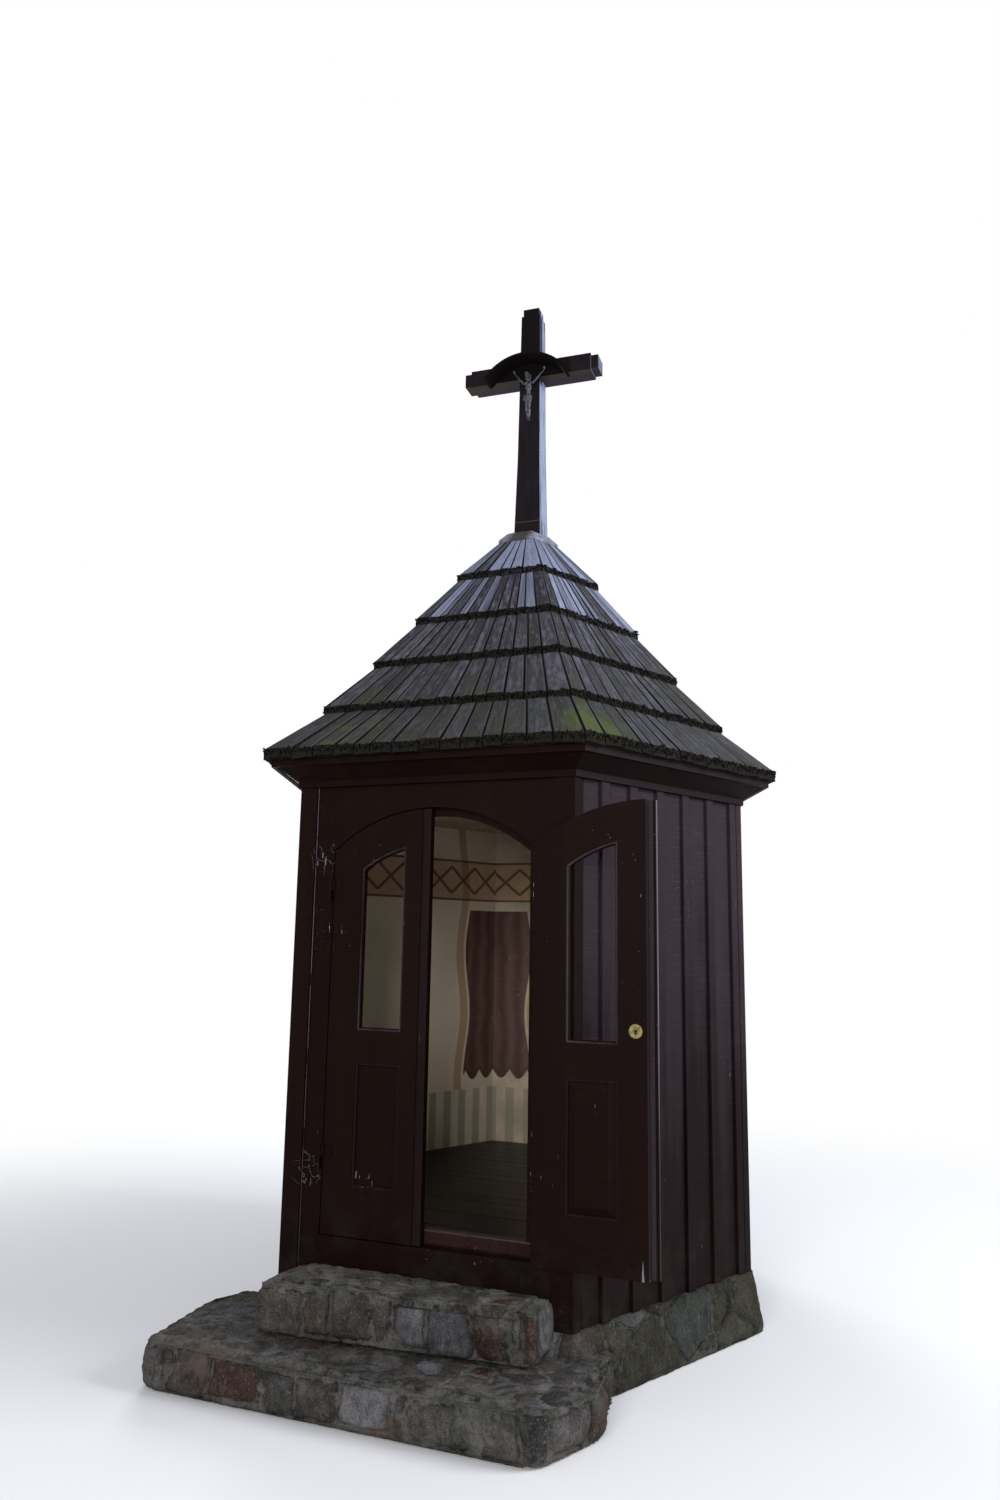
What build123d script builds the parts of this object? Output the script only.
from build123d import *
import math
import os

# Six-sided timber wayside chapel on a fieldstone plinth. Millimetres, +Z up.
# The origin is the middle of the plan at ground level, and the doorway faces -Y.

# Plan, measured on the faces of the corner boards
front_width = 1250.0
plan_depth = 2142.0
plan_width = 2152.0

# Masonry
plinth_height = 240.0
plinth_top_margin = 6.0
plinth_batter = 45.0
lower_step_height = 165.0
upper_step_rise = 190.0
lower_step_reach = 514.0
lower_step_behind = 141.0
lower_step_past_left = 315.0
lower_step_past_right = 175.0
lower_step_corner = 90.0
lower_step_skew = 55.0
upper_step_depth_left = 285.0
upper_step_depth_right = 185.0
upper_step_short_left = 100.0
upper_step_short_right = 80.0

# Walls
wall_height = 2025.0
corner_board_proud = 14.0
wall_frame_thickness = 77.0
lining_thickness = 13.0
corner_board_front = 82.0
corner_board_side = 40.0
post_leg_front = 82.0
post_leg_side = 66.0
batten_width = 46.0
batten_pitch = 181.0
first_batten = 165.0
floor_above_plinth = 260.0
floor_thickness = 25.0
ceiling_thickness = 22.0

# Doorway and leaves
door_side_board = 95.0
leaf_bottom = 462.0
leaf_apex = 2160.0
leaf_arch_radius = 680.6
leaf_thickness = 38.0
leaf_gap = 5.0
meeting_gap = 8.0
hinge_stile = 133.0
meeting_stile = 111.0
light_bottom = 1259.0
top_rail = 143.0
panel_bottom = 650.0
panel_top = 1129.0
panel_thickness = 12.0
panel_field_thickness = 24.0
panel_margin = 30.0
panel_bevel = 5.0
glass_thickness = 4.0
stop_reveal = 32.0
sill_above_floor = 16.0
sill_height = 86.0
rebate_width = 36.0
rebate_depth = 6.0
strip_lap = 28.0
strip_seat = 15.0
strip_thickness = 12.0

# Hinges and lock
hinge_axis_offset = 13.0
hinge_axis_proud = 10.5
hinge_heights = (756.0, 1826.0)
knuckle_radius = 7.0
knuckle_length = 45.0
pin_radius = 4.0
pin_clearance = 0.06
pin_length = 36.0
pin_end_gap = 1.0
knuckle_gap = 0.3
hinge_plate_length = 38.0
hinge_plate_thickness = 4.0
bridge_clearance = 3.0
open_angle = 180.0
lock_height = 1311.0
lock_from_edge = 42.0
rosette_radius = 26.0
rosette_thickness = 4.0
keyhole_radius = 4.0
keyhole_slot = 14.0

# Eaves, from the wall face outwards
frieze_height = 26.0
frieze_proud = 12.0
soffit_reach = 100.0
soffit_rise = 58.0
soffit_thickness = 18.0
eave_board_depth = 36.0
eave_board_thickness = 20.0
eave_board_drop = 5.0
plate_width = 77.0

# Roof: each course is a share of the plan, with the height of its butt above the wall top
course_scales = (1.15, 0.926, 0.727, 0.547, 0.357)
course_heights = (109.0, 344.0, 593.0, 843.0, 1116.0)
apex_scale = 0.11
apex_height = 1425.0
course_butt = 42.0
course_bed = 25.0
deck_thickness = 25.0
deck_edge_scale = 1.125
collar_scale = 0.155
collar_top_scale = 0.082
collar_thickness = 12.0
collar_height = 28.0

# Cross, which stands a little to the right of the middle and is turned a little
cross_offset = 17.0
cross_turn = 3.5
shaft_foot = 141.0
shaft_waist = 120.0
shaft_waist_height = 440.0
shaft_top = 102.0
shaft_height = 1312.0
shaft_shoulder = 44.0
shaft_notch = 8.0
arm_length = 743.0
arm_height = 92.0
arm_depth = 120.0
arm_centre_height = 946.0
arm_notch_length = 38.0
arm_notch = 10.0
hood_width = 450.0
hood_rise = 118.0
hood_depth = 112.0
hood_thickness = 12.0
hood_below_arm = 72.0

# Figure on the cross: heights and breadths are shares of its height, and limbs have radii
figure_height = 290.0
figure_below_arm = 21.0
figure_span = 182.0
figure_knee = 0.24
figure_hip = 0.47
figure_shoulder = 0.75
figure_neck = 0.82
figure_shoulder_half = 0.085
figure_elbow_out = 0.62
figure_elbow_rise = 12.0
figure_head_radius = 16.0
figure_neck_radius = 12.8
figure_head_tilt = 4.0
figure_head_bow = 8.0
figure_chest_radius = 21.0
figure_waist_radius = 17.0
figure_cloth_radius = 20.0
figure_cloth_half = 12.0
figure_thigh_radius = 14.0
figure_knee_radius = 10.0
figure_ankle_radius = 8.0
figure_shoulder_radius = 10.0
figure_elbow_radius = 8.0
figure_hand_radius = 7.0
figure_hip_half = 9.0
figure_foot_half = 4.0
figure_back_gap = 6.0
figure_knee_bend = 8.0
foot_rest = 24.0

# Worked out from the above
wall_bottom = plinth_height
wall_top = wall_bottom + wall_height
floor_top = wall_bottom + floor_above_plinth
floor_bottom = floor_top - floor_thickness
sill_top = floor_top + sill_above_floor
sill_bottom = sill_top - sill_height
upper_step_top = lower_step_height + upper_step_rise
panel_face = corner_board_proud
frame_back = corner_board_proud + wall_frame_thickness
lining_back = frame_back + lining_thickness
front_y = -plan_depth / 2
face_y = front_y + panel_face
frame_back_y = front_y + frame_back
leaf_half_width = front_width / 2 - corner_board_front - door_side_board
light_outer = leaf_half_width - hinge_stile
light_inner = meeting_gap / 2 + meeting_stile
leaf_back_y = face_y + leaf_thickness
stop_y = leaf_back_y + leaf_gap
opening_half_width = leaf_half_width + leaf_gap
opening_radius = leaf_arch_radius + leaf_gap
arch_centre_z = leaf_apex - leaf_arch_radius
stop_half_width = opening_half_width - stop_reveal
stop_radius = opening_radius - stop_reveal
hinge_x = leaf_half_width + hinge_axis_offset
hinge_y = face_y - hinge_axis_proud
course_z = tuple(wall_top + height for height in course_heights)
apex_z = wall_top + apex_height
arm_z = apex_z + arm_centre_height
arm_front_y = -(
    shaft_waist
    + (shaft_top - shaft_waist)
    * (arm_centre_height - shaft_waist_height)
    / (shaft_height - shaft_shoulder - shaft_waist_height)
) / 2


def plan(offset):
    """Six corners of the plan moved inwards by offset, from front left round to the left."""
    corner = Vector(front_width / 2, -plan_depth / 2)
    along = (Vector(plan_width / 2, 0) - corner).normalized()
    normal = Vector(along.Y, -along.X)
    side_reach = normal.X * plan_width / 2 - offset
    front_reach = plan_depth / 2 - offset
    x_front = (side_reach + normal.Y * front_reach) / normal.X
    x_side = side_reach / normal.X
    return [
        (-x_front, -front_reach),
        (x_front, -front_reach),
        (x_side, 0.0),
        (x_front, front_reach),
        (-x_front, front_reach),
        (-x_side, 0.0),
    ]


def scaled_plan(scale):
    return [(x * scale, y * scale) for x, y in plan(0)]


def prism(points, bottom, top):
    return Pos(0, 0, bottom) * extrude(Polygon(*points, align=None), top - bottom)


def at_height(points, height):
    return [Vector(x, y, height) for x, y in points]


def bands(levels, closed):
    """Flat faces between six-cornered outlines; a closed list makes a ring."""
    faces = []
    pairs = list(zip(levels, levels[1:]))
    if closed:
        pairs.append((levels[-1], levels[0]))
    for low, high in pairs:
        for i in range(6):
            j = (i + 1) % 6
            faces.append(Face(Wire.make_polygon([low[i], low[j], high[j], high[i]])))
    return faces


def solid_from(faces):
    solid = Solid(Shell(faces))
    return solid if solid.volume > 0 else Solid(Shell([-face for face in faces]))


def stack(levels):
    caps = [Face(Wire.make_polygon(levels[0])), Face(Wire.make_polygon(levels[-1]))]
    return solid_from(bands(levels, False) + caps)


def ring(levels):
    return solid_from(bands(levels, True))


def offset_ring(profile):
    """A ring whose section is a list of (offset inwards from the plan, height)."""
    return ring([at_height(plan(offset), height) for offset, height in profile])


def scaled_ring(profile):
    """A ring whose section is a list of (share of the plan, height)."""
    return ring([at_height(scaled_plan(scale), height) for scale, height in profile])


def box(x0, x1, y0, y1, z0, z1):
    return Pos((x0 + x1) / 2, (y0 + y1) / 2, (z0 + z1) / 2) * Box(x1 - x0, y1 - y0, z1 - z0)


def arched_sketch(x0, x1, bottom, radius):
    """Outline in X and Z, closed at the top by an arc about the door's arch centre."""
    def arc_point(x):
        return (x, arch_centre_z + math.sqrt(radius**2 - x**2))
    right_side = Line((x1, bottom), arc_point(x1))
    crown = ThreePointArc(arc_point(x1), arc_point((x0 + x1) / 2), arc_point(x0))
    left_side = Line(arc_point(x0), (x0, bottom))
    foot = Line((x0, bottom), (x1, bottom))
    return make_face([foot, right_side, crown, left_side])


def upright(sketch, front, back):
    """A sketch in X and Z, given its thickness between two Y values."""
    return extrude(Plane.XZ.offset(-back) * sketch, back - front)


# Masonry

def make_plinth():
    foot = at_height(plan(-plinth_top_margin - plinth_batter), 0)
    shoulder = at_height(plan(-plinth_top_margin), plinth_height)
    bed = prism(plan(frame_back), plinth_height, floor_bottom)
    return stack([foot, shoulder]) + bed


def make_lower_step(plinth):
    left = -front_width / 2 - lower_step_past_left
    right = front_width / 2 + lower_step_past_right
    nose = front_y - lower_step_reach
    behind = front_y + lower_step_behind
    front_left = (left + lower_step_skew, nose)
    front_right = (right - 2 * lower_step_skew, nose)
    side_right = (right, nose + upper_step_depth_left)
    back_right = (right - lower_step_skew, behind)
    back_left = (left + lower_step_skew, behind)
    side_left = (left, front_y)
    outline = Polygon(front_left, front_right, side_right, back_right, back_left, side_left, align=None)
    outline = fillet(outline.vertices(), lower_step_corner)
    return extrude(outline, lower_step_height) - plinth


def make_upper_step(plinth):
    left = upper_step_short_left - front_width / 2
    right = front_width / 2 - upper_step_short_right
    outline = [
        (left, front_y - upper_step_depth_left),
        (right, front_y - upper_step_depth_right),
        (right, front_y),
        (left, front_y),
    ]
    return prism(outline, lower_step_height, upper_step_top) - plinth


# Walls

def side_of_plan(index):
    """Where a side of the plan starts, and the line to its other end."""
    corners = plan(0)
    start = Vector(*corners[index])
    return start, Vector(*corners[(index + 1) % 6]) - start


def wall_strip(index, begin, end, outer, inner):
    """An upright strip between two distances along a side and two offsets inwards from it."""
    start, line = side_of_plan(index)
    along = line.normalized()
    inward = Vector(-along.Y, along.X)
    places = [(begin, outer), (end, outer), (end, inner), (begin, inner)]
    points = [start + along * distance + inward * offset for distance, offset in places]
    return prism([(p.X, p.Y) for p in points], wall_bottom, wall_top)


def wall_slab(index, leg):
    """A plain wall between two corner posts; index picks the side of the plan."""
    length = side_of_plan(index)[1].length
    return wall_strip(index, leg, length - leg, panel_face, frame_back)


def side_battens(index, from_end):
    """Battens counted from a front or back corner, as many as fit before the side corner's board."""
    length = side_of_plan(index)[1].length
    room = length - corner_board_side - batten_width - first_batten
    begins = [first_batten + batten_pitch * i for i in range(int(room // batten_pitch) + 1)]
    if from_end:
        begins = [length - begin - batten_width for begin in begins]
    return begins


def back_battens(index):
    """Battens evenly about the middle of the back wall."""
    length = side_of_plan(index)[1].length
    count = round((length - 2 * corner_board_front) / batten_pitch) - 1
    first = (length - batten_pitch * (count - 1) - batten_width) / 2
    return [first + batten_pitch * i for i in range(count)]


def boarded_wall(index, leg, begins):
    """A wall with its battens, which stand as proud as the corner boards."""
    wall = wall_slab(index, leg)
    for begin in begins:
        wall += wall_strip(index, begin, begin + batten_width, 0, panel_face)
    return wall


def corner_post(index, legs, boards):
    """Post at one corner: legs reach along the walls, boards are what stands proud of them."""
    outer = [Vector(*p) for p in plan(0)]
    inner = Vector(*plan(frame_back)[index])
    here = outer[index]
    before = (outer[index - 1] - here).normalized()
    after = (outer[(index + 1) % 6] - here).normalized()
    in_before = Vector(before.Y, -before.X)
    in_after = Vector(-after.Y, after.X)
    points = [
        here,
        here + after * boards[1],
        here + after * boards[1] + in_after * panel_face,
        here + after * legs[1] + in_after * panel_face,
        here + after * legs[1] + in_after * frame_back,
        inner,
        here + before * legs[0] + in_before * frame_back,
        here + before * legs[0] + in_before * panel_face,
        here + before * boards[0] + in_before * panel_face,
        here + before * boards[0],
    ]
    return prism([(p.X, p.Y) for p in points], wall_bottom, wall_top)


def make_walls():
    walls = {
        "wall_front_right": boarded_wall(1, post_leg_side, side_battens(1, False)),
        "wall_back_right": boarded_wall(2, post_leg_side, side_battens(2, True)),
        "wall_back": boarded_wall(3, post_leg_front, back_battens(3)),
        "wall_back_left": boarded_wall(4, post_leg_side, side_battens(4, False)),
        "wall_front_left": boarded_wall(5, post_leg_side, side_battens(5, True)),
    }
    whole_front = wall_slab(0, post_leg_front)
    left_band = box(-front_width, -opening_half_width, front_y, 0, 0, wall_top)
    right_band = box(opening_half_width, front_width, front_y, 0, 0, wall_top)
    middle = whole_front - left_band - right_band
    opening = upright(arched_sketch(-opening_half_width, opening_half_width, 0, opening_radius), front_y, 0)
    walls["front_wall_left"] = whole_front & left_band
    walls["front_wall_right"] = whole_front & right_band
    walls["front_wall_over_door"] = middle - opening
    walls["front_base"] = middle & box(-front_width, front_width, front_y, 0, 0, sill_bottom)
    return walls


def make_posts():
    names = ["front_left", "front_right", "side_right", "back_right", "back_left", "side_left"]
    wide = (post_leg_front, corner_board_front)
    slim = (post_leg_side, corner_board_side)
    faces = [(slim, wide), (wide, slim), (slim, slim), (slim, wide), (wide, slim), (slim, slim)]
    posts = {}
    for index, name in enumerate(names):
        legs, boards = zip(*faces[index])
        posts["corner_post_" + name] = corner_post(index, legs, boards)
    return posts


def make_lining():
    outer = prism(plan(frame_back), floor_top, wall_top)
    inner = prism(plan(lining_back), floor_top, wall_top)
    doorway = arched_sketch(-stop_half_width, stop_half_width, 0, stop_radius)
    return outer - inner - upright(doorway, front_y, 0)


# Doorway

def make_door_sill():
    beam = box(-opening_half_width, opening_half_width, face_y, frame_back_y, sill_bottom, sill_top)
    ledge = box(-opening_half_width, opening_half_width, face_y, stop_y, leaf_bottom - leaf_gap, sill_top)
    return beam - ledge


def make_door_frame():
    outer = arched_sketch(-opening_half_width, opening_half_width, sill_top, opening_radius)
    inner = arched_sketch(-stop_half_width, stop_half_width, wall_bottom, stop_radius)
    return upright(outer - inner, stop_y, frame_back_y)


def leaf_frame():
    """The right leaf's stiles and rails, shut."""
    body = arched_sketch(meeting_gap / 2, leaf_half_width, leaf_bottom, leaf_arch_radius)
    light = arched_sketch(light_inner, light_outer, light_bottom, leaf_arch_radius - top_rail)
    panel = box(light_inner, light_outer, face_y, leaf_back_y, panel_bottom, panel_top)
    return upright(body - light, face_y, leaf_back_y) - panel


def leaf_glass():
    light = arched_sketch(light_inner, light_outer, light_bottom, leaf_arch_radius - top_rail)
    middle = (face_y + leaf_back_y) / 2
    return upright(light, middle - glass_thickness / 2, middle + glass_thickness / 2)


def leaf_panel():
    width = light_outer - light_inner
    height = panel_top - panel_bottom
    at = Pos(light_inner + width / 2, (face_y + leaf_back_y) / 2, panel_bottom + height / 2)
    field = Box(width - 2 * panel_margin, panel_field_thickness, height - 2 * panel_margin)
    long_edges = field.edges().filter_by(Axis.Y, reverse=True)
    return at * (Box(width, panel_thickness, height) + chamfer(long_edges, panel_bevel))


def meeting_rebate():
    """What is cut from the left leaf for the cover strip, given on the right."""
    inner_edge = meeting_gap / 2
    return box(inner_edge, inner_edge + rebate_width, face_y, face_y + rebate_depth, 0, wall_top)


def make_cover_strip():
    outline = arched_sketch(-strip_lap, strip_seat, leaf_bottom, leaf_arch_radius)
    return upright(outline, face_y - strip_thickness, face_y)


def make_lock_rosettes():
    centre_x = meeting_gap / 2 + lock_from_edge
    disc = Circle(rosette_radius) - Circle(keyhole_radius)
    disc -= Pos(0, -keyhole_slot / 2) * Rectangle(keyhole_radius, keyhole_slot)
    disc = Pos(centre_x, lock_height) * disc
    outer = upright(disc, face_y - rosette_thickness, face_y)
    inner = upright(disc, leaf_back_y, leaf_back_y + rosette_thickness)
    return Compound(children=[outer, inner])


# Hinges, given on the right with the leaf shut

def frame_hinge(height):
    """Lower knuckle with its pin, on a plate fixed to the wall face."""
    plate_front = face_y - hinge_plate_thickness
    knuckle = Pos(hinge_x, hinge_y, height - knuckle_length) * Cylinder(
        knuckle_radius, knuckle_length, align=(Align.CENTER, Align.CENTER, Align.MIN)
    )
    pin = Pos(hinge_x, hinge_y, height) * Cylinder(
        pin_radius, pin_length, align=(Align.CENTER, Align.CENTER, Align.MIN)
    )
    bottom = height - knuckle_length
    plate = box(hinge_x, hinge_x + hinge_plate_length, plate_front, face_y, bottom, height)
    root = box(hinge_x - knuckle_radius / 2, hinge_x + knuckle_radius / 2, hinge_y, face_y, bottom, height)
    return knuckle + pin + plate + root


def leaf_hinge(height):
    """Upper knuckle, bored for the pin, on a plate fixed to the leaf's face."""
    bottom = height + knuckle_gap
    top = bottom + knuckle_length
    at = Pos(hinge_x, hinge_y, bottom)
    align = (Align.CENTER, Align.CENTER, Align.MIN)
    plate_front = face_y - hinge_plate_thickness
    bridge_back = face_y - bridge_clearance
    plate = box(leaf_half_width - hinge_plate_length, leaf_half_width, plate_front, face_y, bottom, top)
    bridge = box(leaf_half_width - knuckle_radius, hinge_x, hinge_y, bridge_back, bottom, top)
    knuckle = at * Cylinder(knuckle_radius, knuckle_length, align=align)
    bore = at * Cylinder(pin_radius + pin_clearance, pin_length + pin_end_gap, align=align)
    return knuckle + plate + bridge - bore


def on_left(shape):
    return mirror(shape, about=Plane.YZ)


def opened(shape):
    """The right leaf stands open, folded back about its hinge."""
    return shape.rotate(Axis((hinge_x, hinge_y, 0), (0, 0, 1)), open_angle)


# Eaves

def make_frieze():
    return offset_ring([
        (-frieze_proud, wall_top),
        (-frieze_proud, wall_top + frieze_height),
        (panel_face, wall_top + frieze_height),
        (panel_face, wall_top),
    ])


def make_soffit():
    """Sloping boards from the frieze out to the eave board."""
    low = wall_top + frieze_height
    return offset_ring([
        (-frieze_proud, low),
        (-soffit_reach, low + soffit_rise),
        (-soffit_reach, low + soffit_rise + soffit_thickness),
        (panel_face, low + soffit_thickness),
        (panel_face, low),
    ])


def make_eave_board(deck):
    """Board under the edge of the deck, against the ends of the soffit boards."""
    bottom = wall_top + frieze_height + soffit_rise - eave_board_drop
    tall = offset_ring([
        (-soffit_reach - eave_board_thickness, bottom),
        (-soffit_reach - eave_board_thickness, bottom + eave_board_depth),
        (-soffit_reach, bottom + eave_board_depth),
        (-soffit_reach, bottom),
    ])
    return tall - deck


# Roof

def course_points():
    """Share of the plan and height of each butt, and of the apex."""
    return list(zip(course_scales, course_z)) + [(apex_scale, apex_z)]


def line_height(scale, low, high):
    """Height at a share of the plan, on the straight line between two of those points."""
    return low[1] + (low[0] - scale) * (high[1] - low[1]) / (low[0] - high[0])


def deck_points():
    """The top of the deck, which the courses lie on."""
    butts = course_points()
    upper = [(scale, height - course_bed) for scale, height in butts[1:]]
    return [(deck_edge_scale, line_height(deck_edge_scale, butts[0], upper[0]))] + upper


def attic():
    """The space under the deck."""
    outer = deck_points()
    return stack([at_height(scaled_plan(scale), height - deck_thickness) for scale, height in outer])


def make_roof_deck():
    outer = deck_points()
    edge = (outer[0][0], outer[0][1] - deck_thickness)
    return stack([at_height(scaled_plan(scale), height) for scale, height in [edge] + outer]) - attic()


def make_roof_tier(index):
    """One course: thick at its butt, running up to the butt of the course above it."""
    low, high = course_points()[index:index + 2]
    bed = course_bed if index else 0
    return scaled_ring([
        (low[0], low[1] - bed),
        (low[0], low[1] + course_butt),
        high,
        (high[0], high[1] - course_bed),
    ])


def make_wall_plate():
    """Ring beam on the ceiling, cut to the slope of the roof deck that it carries."""
    bottom = wall_top + ceiling_thickness
    tall = offset_ring([
        (panel_face, bottom),
        (panel_face, course_z[1]),
        (panel_face + plate_width, course_z[1]),
        (panel_face + plate_width, bottom),
    ])
    return tall & attic()


def make_apex_collar(shaft):
    """Skirt round the foot of the cross: it lies on the top course, then turns up to the shaft."""
    last = (course_scales[-1], course_z[-1] + course_butt)
    top = (apex_scale, apex_z)
    low = line_height(collar_scale, last, top)
    roof = stack([at_height(scaled_plan(collar_scale), low), at_height(scaled_plan(apex_scale), apex_z)])
    bell = stack([
        at_height(scaled_plan(collar_scale), low),
        at_height(scaled_plan(collar_scale), low + collar_thickness),
        at_height(scaled_plan(apex_scale), apex_z + collar_thickness),
        at_height(scaled_plan(collar_top_scale), apex_z + collar_height),
    ])
    return bell - roof - shaft


# Cross, made about the middle and then stood in its place

def stood(shape):
    return Pos(cross_offset, 0, 0) * Rot(0, 0, cross_turn) * shape


def whole_shaft():
    shoulder = shaft_height - shaft_shoulder
    tip = shaft_top - 2 * shaft_notch
    sections = [(0, shaft_foot), (shaft_waist_height, shaft_waist), (shoulder, shaft_top)]
    shaft = Pos(0, 0, shoulder + shaft_shoulder / 2) * Box(tip, tip, shaft_shoulder)
    for (low, wide), (high, narrow) in zip(sections, sections[1:]):
        shaft += loft([Pos(0, 0, low) * Rectangle(wide, wide), Pos(0, 0, high) * Rectangle(narrow, narrow)])
    return Pos(0, 0, apex_z) * shaft


def whole_arm():
    """Bar with a smaller tongue at each end, its face flush with the shaft's."""
    bar = Box(arm_length - 2 * arm_notch_length, arm_depth, arm_height)
    tongues = Box(arm_length, arm_depth - 2 * arm_notch, arm_height - 2 * arm_notch)
    return Pos(0, arm_front_y + arm_depth / 2, arm_z) * (bar + tongues)


def make_cross():
    """Shaft and arm, halved into each other: the shaft keeps its front half at the crossing."""
    shaft = whole_shaft()
    front_half = shaft & box(-shaft_foot, shaft_foot, -shaft_foot, 0, apex_z, apex_z + shaft_height)
    arm = whole_arm() - front_half
    return shaft - arm, arm


def make_cross_hood(shaft):
    """Arched board over the figure, standing out from the face of the arm."""
    foot_z = arm_z - hood_below_arm
    half = hood_width / 2
    radius = (half**2 + hood_rise**2) / (2 * hood_rise)
    inner_radius = radius - hood_thickness
    inner_half = math.sqrt(inner_radius**2 - (radius - hood_rise) ** 2)
    top_z = foot_z + hood_rise
    outer_arc = ThreePointArc((half, foot_z), (0, top_z), (-half, foot_z))
    left_foot = Line((-half, foot_z), (-inner_half, foot_z))
    inner_arc = ThreePointArc((-inner_half, foot_z), (0, top_z - hood_thickness), (inner_half, foot_z))
    right_foot = Line((inner_half, foot_z), (half, foot_z))
    outline = make_face([outer_arc, left_foot, inner_arc, right_foot])
    return upright(outline, arm_front_y - hood_depth, arm_front_y) - shaft


def limb(start, end, start_radius, end_radius):
    """A tapered limb between two points, with rounded ends."""
    start, end = Vector(*start), Vector(*end)
    length = (end - start).length
    place = Plane(origin=start, z_dir=end - start)
    cone = place * Cone(start_radius, end_radius, length, align=(Align.CENTER, Align.CENTER, Align.MIN))
    return cone + Pos(start) * Sphere(start_radius) + Pos(end) * Sphere(end_radius)


def make_cross_figure(shaft, arm):
    """Plain figure with raised arms, at the crossing."""
    foot = arm_z - figure_below_arm - figure_height
    hip = foot + figure_height * figure_hip
    neck = foot + figure_height * figure_neck
    shoulder_z = foot + figure_height * figure_shoulder
    knee_z = foot + figure_height * figure_knee
    head_z = foot + figure_height - figure_head_radius
    hand_x = figure_span / 2
    y = arm_front_y - figure_head_radius - figure_back_gap
    rest_y = arm_front_y - foot_rest / 2
    chest = limb((0, y, hip), (0, y, shoulder_z), figure_waist_radius, figure_chest_radius)
    head = limb(
        (-figure_head_tilt / 2, y - figure_head_bow / 2, neck),
        (-figure_head_tilt, y - figure_head_bow, head_z),
        figure_neck_radius,
        figure_head_radius,
    )
    cloth = Pos(0, y, hip) * Cylinder(figure_cloth_radius, 2 * figure_cloth_half)
    figure = chest + head + cloth
    for side in (-1, 1):
        shoulder = (side * figure_height * figure_shoulder_half, y, shoulder_z)
        elbow = (side * hand_x * figure_elbow_out, y + figure_back_gap, neck + figure_elbow_rise)
        hand = (side * hand_x, arm_front_y - figure_back_gap, arm_z)
        top = (side * figure_hip_half, y, hip)
        knee = (side * figure_hip_half, y - figure_knee_bend, knee_z)
        ankle = (side * figure_foot_half, rest_y, foot + figure_ankle_radius)
        figure += limb(shoulder, elbow, figure_shoulder_radius, figure_elbow_radius)
        figure += limb(elbow, hand, figure_elbow_radius, figure_hand_radius)
        figure += limb(top, knee, figure_thigh_radius, figure_knee_radius)
        figure += limb(knee, ankle, figure_knee_radius, figure_ankle_radius)
    figure += Pos(0, rest_y, foot + foot_rest / 2) * Box(foot_rest, foot_rest, foot_rest)
    return figure - shaft - arm


def build():
    plinth = make_plinth()
    deck = make_roof_deck()
    shaft, arm = make_cross()
    parts = {
        "plinth": plinth,
        "lower_step": make_lower_step(plinth),
        "upper_step": make_upper_step(plinth),
        "floor_boards": prism(plan(frame_back), floor_bottom, floor_top),
        "ceiling_boards": prism(plan(panel_face), wall_top, wall_top + ceiling_thickness),
        "wall_lining": make_lining(),
        "door_sill": make_door_sill(),
        "door_frame": make_door_frame(),
        "frieze": make_frieze(),
        "soffit": make_soffit(),
        "eave_board": make_eave_board(deck),
        "wall_plate": make_wall_plate(),
        "roof_deck": deck,
        "apex_collar": make_apex_collar(stood(shaft)),
        "cross_shaft": stood(shaft),
        "cross_arm": stood(arm),
        "cross_hood": stood(make_cross_hood(shaft)),
        "cross_figure": stood(make_cross_figure(shaft, arm)),
    }
    parts.update(make_walls())
    parts.update(make_posts())
    for index in range(len(course_scales)):
        parts["roof_tier_%d" % (index + 1)] = make_roof_tier(index)
    frame_hinges = Compound(children=[frame_hinge(height) for height in hinge_heights])
    leaf_hinges = Compound(children=[leaf_hinge(height) for height in hinge_heights])
    parts["frame_hinges_left"] = on_left(frame_hinges)
    parts["frame_hinges_right"] = frame_hinges
    parts["left_leaf_frame"] = on_left(leaf_frame() - meeting_rebate())
    parts["left_leaf_glass"] = on_left(leaf_glass())
    parts["left_leaf_panel"] = on_left(leaf_panel())
    parts["left_leaf_hinges"] = on_left(leaf_hinges)
    parts["right_leaf_frame"] = opened(leaf_frame())
    parts["right_leaf_glass"] = opened(leaf_glass())
    parts["right_leaf_panel"] = opened(leaf_panel())
    parts["right_leaf_hinges"] = opened(leaf_hinges)
    parts["cover_strip"] = opened(make_cover_strip())
    parts["lock_rosettes"] = opened(make_lock_rosettes())
    return parts


os.makedirs("parts", exist_ok=True)
for name, shape in build().items():
    export_step(shape, "parts/%s.step" % name)
print("written")
